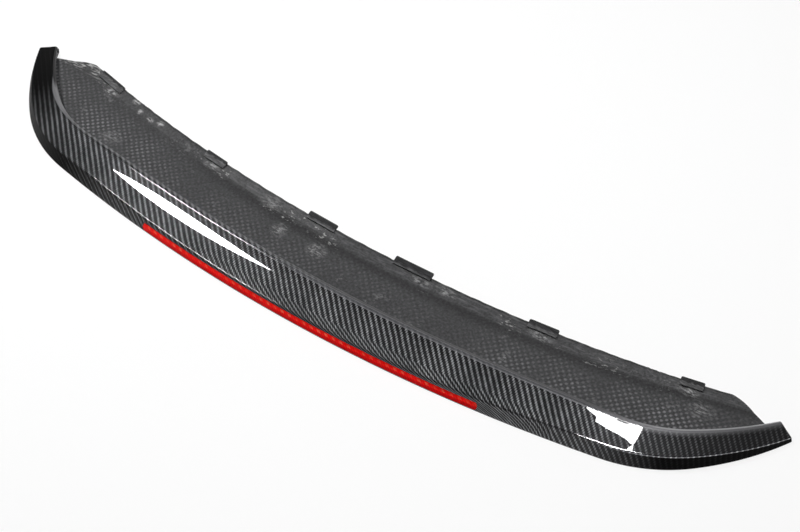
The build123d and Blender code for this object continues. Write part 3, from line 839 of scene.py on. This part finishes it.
# %% Cut sheet under a brushed film
FILM_RAGGED, FILM_START, FILM_FULL = 6.0, 5.8, 7.6  # mm inwards from the front arc
cut_sheet, add, shader = material("cut_abs_sheet")
place = add("TexCoord", output="Object")
scuffs = add("VectorMath", {0: place, 1: (90.0, 700.0, 500.0)}, "MULTIPLY")  # 11 by 1.4 mm
scuffs = add("TexNoise", {"Vector": scuffs, "Scale": 1.0, "Detail": 4.0, "Roughness": 0.7})
scuffs = add("MapRange", {"Value": scuffs, "From Min": 0.45, "From Max": 0.75})
tone = add("Mix", {"Factor": scuffs, 6: colour("#141415"), 7: colour("#424244")}, **RGBA)
flat = add("VectorMath", {0: place, 1: (1.0, 1.0, 0.0)}, "MULTIPLY")
centre = (SHIFT[0] * MM, (SHIFT[1] + FRONT_MIDDLE + FRONT_RADIUS) * MM, 0.0)
inwards = add("VectorMath", {0: flat, 1: centre}, "DISTANCE", "Value")
inwards = add("Math", {0: inwards, 1: FRONT_RADIUS * MM}, "SUBTRACT")
ragged = add("TexNoise", {"Vector": place, "Scale": 160.0, "Detail": 3.0})  # 6 mm runs of the brush
inwards = add("Math", {0: ragged, 1: FILM_RAGGED * MM, 2: inwards}, "MULTIPLY_ADD")
brushed = add("MapRange", {"Value": inwards, "From Min": FILM_START * MM, "From Max": FILM_FULL * MM})
film = add("Mix", {"Factor": scuffs, 6: colour("#434344"), 7: colour("#7a7a7b")}, **RGBA)
tone = add("Mix", {"Factor": brushed, 6: tone, 7: film}, **RGBA)
rough = add("MapRange", {"Value": scuffs, "To Min": 0.5, "To Max": 0.75})
bump = add("Bump", {"Height": scuffs, "Strength": 0.3, "Distance": 0.1 * MM})
feed(shader, {"Base Color": tone, "Normal": bump, "Roughness": rough, "Specular IOR Level": 0.15})
print("made", cut_sheet.name)

# %% Tray, board and diodes
grained, add, shader = material("grained_abs")
place = add("TexCoord", output="Object")
grain = add("TexVoronoi", {"Vector": place, "Scale": 900.0})  # 0.3 mm grain, drawn at 1.1 mm to show
tone = add("Mix", {"Factor": grain, 6: colour("#1d1d1e"), 7: colour("#343436")}, **RGBA)
bump = add("Bump", {"Height": grain, "Strength": 0.4, "Distance": 0.08 * MM})
feed(shader, {"Base Color": tone, "Normal": bump, "Roughness": 0.55})
board, add, shader = material("white_solder_mask")
place = add("TexCoord", output="Object")
tracks = add("VectorMath", {0: place, 1: (120.0, 120.0, 900.0)}, "MULTIPLY")  # 8 by 1.1 mm
tracks = add("TexNoise", {"Vector": tracks, "Scale": 1.0, "Detail": 1.0})
tracks = add("MapRange", {"Value": tracks, "From Min": 0.48, "From Max": 0.52})
tone = add("Mix", {"Factor": tracks, 6: colour("#dfe0da"), 7: colour("#c9cbc4")}, **RGBA)
bump = add("Bump", {"Height": tracks, "Strength": 0.5, "Distance": 0.05 * MM})
feed(shader, {"Base Color": tone, "Normal": bump, "Roughness": 0.35})
resin, add, shader = material("resin_over_chip")
place = add("TexCoord", output="Object")
chip = add("TexNoise", {"Vector": place, "Scale": 500.0, "Detail": 1.0})  # 2 mm chips
tone = add("Mix", {"Factor": chip, 6: colour("#d8a62c"), 7: colour("#f2e3a6")}, **RGBA)
feed(shader, {"Base Color": tone, "Roughness": 0.15})
finishes = {"locating_tabs": cut_sheet, "lamp_housing": grained, "led_board": board, "leds": resin}
for name, finish in finishes.items():
    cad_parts[name].data.materials.clear()
    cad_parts[name].data.materials.append(finish)
print("finished nodes:", {name: finish.name for name, finish in finishes.items()})

# %% [markdown]
# ## White paper cove
# The part stands on white paper that curves up far away. The paper looks white to the eye and in polished
# surfaces, and still takes the shadow: for those rays most of it glows at strength 1, the rest is lit.

# %% Paper cove
COVE_RADIUS, COVE_HEIGHT, COVE_BEND, BEND_STEPS, SIDES = 6.0, 3.0, 2.0, 8, 64
profile = [(COVE_RADIUS - COVE_BEND, 0.0)]
for i in range(1, BEND_STEPS + 1):
    angle = pi / 2 * i / BEND_STEPS
    profile.append((COVE_RADIUS - COVE_BEND * (1 - sin(angle)), COVE_BEND * (1 - cos(angle))))
profile.append((COVE_RADIUS, COVE_HEIGHT))
turns = [2 * pi * k / SIDES for k in range(SIDES)]
verts = [(r * cos(turn), r * sin(turn), h) for r, h in profile for turn in turns]
faces = [tuple(range(SIDES))]
for row in range(len(profile) - 1):
    for k in range(SIDES):
        j = (k + 1) % SIDES
        faces.append((row * SIDES + k, (row + 1) * SIDES + k, (row + 1) * SIDES + j, row * SIDES + j))
mesh = bpy.data.meshes.new("paper_cove")
mesh.from_pydata(verts, [], faces)
mesh.shade_smooth()
mesh.polygons[0].use_smooth = False
cove = bpy.data.objects.new("paper_cove", mesh)
bpy.context.scene.collection.objects.link(cove)
print("cove:", len(mesh.polygons), "faces")

# %% White paper
PAPER_GLOW = 0.75
paper, add, shader = material("white_paper")
place = add("TexCoord", output="Object")
fibres = add("TexNoise", {"Vector": place, "Scale": 900.0})  # 1.1 mm, finer on real paper
tone = add("Mix", {"Factor": fibres, 6: colour("#f6f6f6"), 7: colour("#fbfbfb")}, **RGBA)
feed(shader, {"Base Color": tone, "Roughness": 0.95, "Specular IOR Level": 0.0})
rays = add("LightPath").node.outputs
seen = add("Math", {0: rays["Is Camera Ray"], 1: rays["Is Glossy Ray"]}, "MAXIMUM")
seen = add("Math", {0: seen, 1: rays["Is Transmission Ray"]}, "MAXIMUM")
seen = add("Math", {0: seen, 1: PAPER_GLOW}, "MULTIPLY")
glow = add("Emission", {"Color": (1.0, 1.0, 1.0, 1.0), "Strength": 1.0})
mixed = add("MixShader", {0: seen, 1: shader.outputs[0], 2: glow})
feed(paper.node_tree.nodes["Material Output"], {"Surface": mixed})
mesh.materials.append(paper)
print("paper glows by", PAPER_GLOW, "to the eye")

# %% [markdown]
# ## Two soft boxes and a dim room
# Polished resin shows the lamps themselves, so their outlines matter: a long narrow box at the left, with
# one side bowed, gives the white blade on the band, and a many-sided box over the right half gives the
# bright patch at the shoulder. Three strips cast no light: they glow only in the polish, and draw the
# hairlines along the crease and the lip. In the polish the boxes look brighter than the light they cast,
# as bare lamps do. With the room they light the part at a plain level.

# %% Lamps of any outline
LAMP_HEIGHT = 1.5


def soft_box(name, outline, radiance, in_polish):
    """Flat lamp facing down, unseen by the camera, with one strength for light and one in the polish."""
    data = bpy.data.meshes.new(name)
    data.from_pydata([(x, y, LAMP_HEIGHT) for x, y in outline], [], [tuple(range(len(outline)))])
    made = bpy.data.objects.new(name, data)
    bpy.context.scene.collection.objects.link(made)
    made.visible_camera = False
    diffuser, add, _ = material(name + "_cloth")
    mirrored = add("LightPath", output="Is Singular Ray")
    strength = add("MapRange", {"Value": mirrored, "To Min": radiance, "To Max": in_polish})
    light = add("Emission", {"Color": (1.0, 1.0, 1.0, 1.0), "Strength": strength})
    feed(diffuser.node_tree.nodes["Material Output"], {"Surface": light})
    data.materials.append(diffuser)


BLADE_START, BLADE_END, BLADE_BOW = Vector((-1.258, 0.194)), Vector((-0.809, -0.126)), 0.108
BLADE_STEPS = 16
blade_run = BLADE_END - BLADE_START
blade_side = Vector((blade_run.y, -blade_run.x)).normalized()
blade = []
for i in range(BLADE_STEPS + 1):
    share = i / BLADE_STEPS
    blade.append(BLADE_START + blade_run * share + blade_side * (BLADE_BOW * 4 * share * (1 - share)))
patch = [(-0.025, 0.111), (0.094, 0.140), (0.312, 0.190), (0.226, 0.342), (0.185, 0.415), (0.166, 0.400)]
patch += [(0.154, 0.355), (0.093, 0.302), (0.024, 0.274), (-0.007, 0.238), (0.003, 0.172)]
print("corners of the boxes:", len(blade), "and", len(patch))

# %% Hang the lamps
BLADE_LIGHT, BOX_LIGHT, BOX_IN_POLISH, STRIP_IN_POLISH, STRIP_WIDTH = 150.0, 80.0, 110.0, 300.0, 0.04
rear = [(-1.26, 0.375), (-1.206, 0.345), (-1.109, 0.225), (-0.97, 0.125), (-0.86, 0.09)]
strips = {
    "left_reflector": [(-1.00, -0.33), (-1.00, -0.42), (-0.765, -0.42), (-0.765, -0.33)],
    "rear_reflector": rear + [(x, y + STRIP_WIDTH) for x, y in rear[::-1]],
    "right_reflector": [(0.12, 0.09), (0.12, -0.90), (0.40, -0.90), (0.40, 0.14)],
}
soft_box("left_blade", blade, BLADE_LIGHT, STRIP_IN_POLISH)
soft_box("right_box", patch, BOX_LIGHT, BOX_IN_POLISH)
for name, outline in strips.items():
    soft_box(name, outline, 0.0, STRIP_IN_POLISH)
world = bpy.data.worlds.new("room")
bpy.context.scene.world = world
world.use_nodes = True
feed(world.node_tree.nodes["Background"], {"Color": (1.0, 1.0, 1.0, 1.0), "Strength": 0.2})
bpy.context.scene.view_settings.view_transform = "Standard"
print("lamps: 2 boxes and", len(strips), "strips")

# %% [markdown]
# ## Camera
# The camera stands where the photograph was taken from: above the right rear corner, with a long lens.

# %% Camera
EYE = (1.2303, -1.6042, 2.1623)
AZIMUTH, ELEVATION, LENS_MM = radians(35.81), radians(46.75), 119.09
lens_data = bpy.data.cameras.new("camera")
lens_data.sensor_width, lens_data.lens = 36.0, LENS_MM
camera = bpy.data.objects.new("camera", lens_data)
camera.location = EYE
look = Vector((-sin(AZIMUTH) * cos(ELEVATION), cos(AZIMUTH) * cos(ELEVATION), -sin(ELEVATION)))
camera.rotation_euler = look.to_track_quat("-Z", "Y").to_euler()
bpy.context.scene.collection.objects.link(camera)
bpy.context.scene.camera = camera
print("camera:", round(Vector(EYE).length, 2), "m from the part")
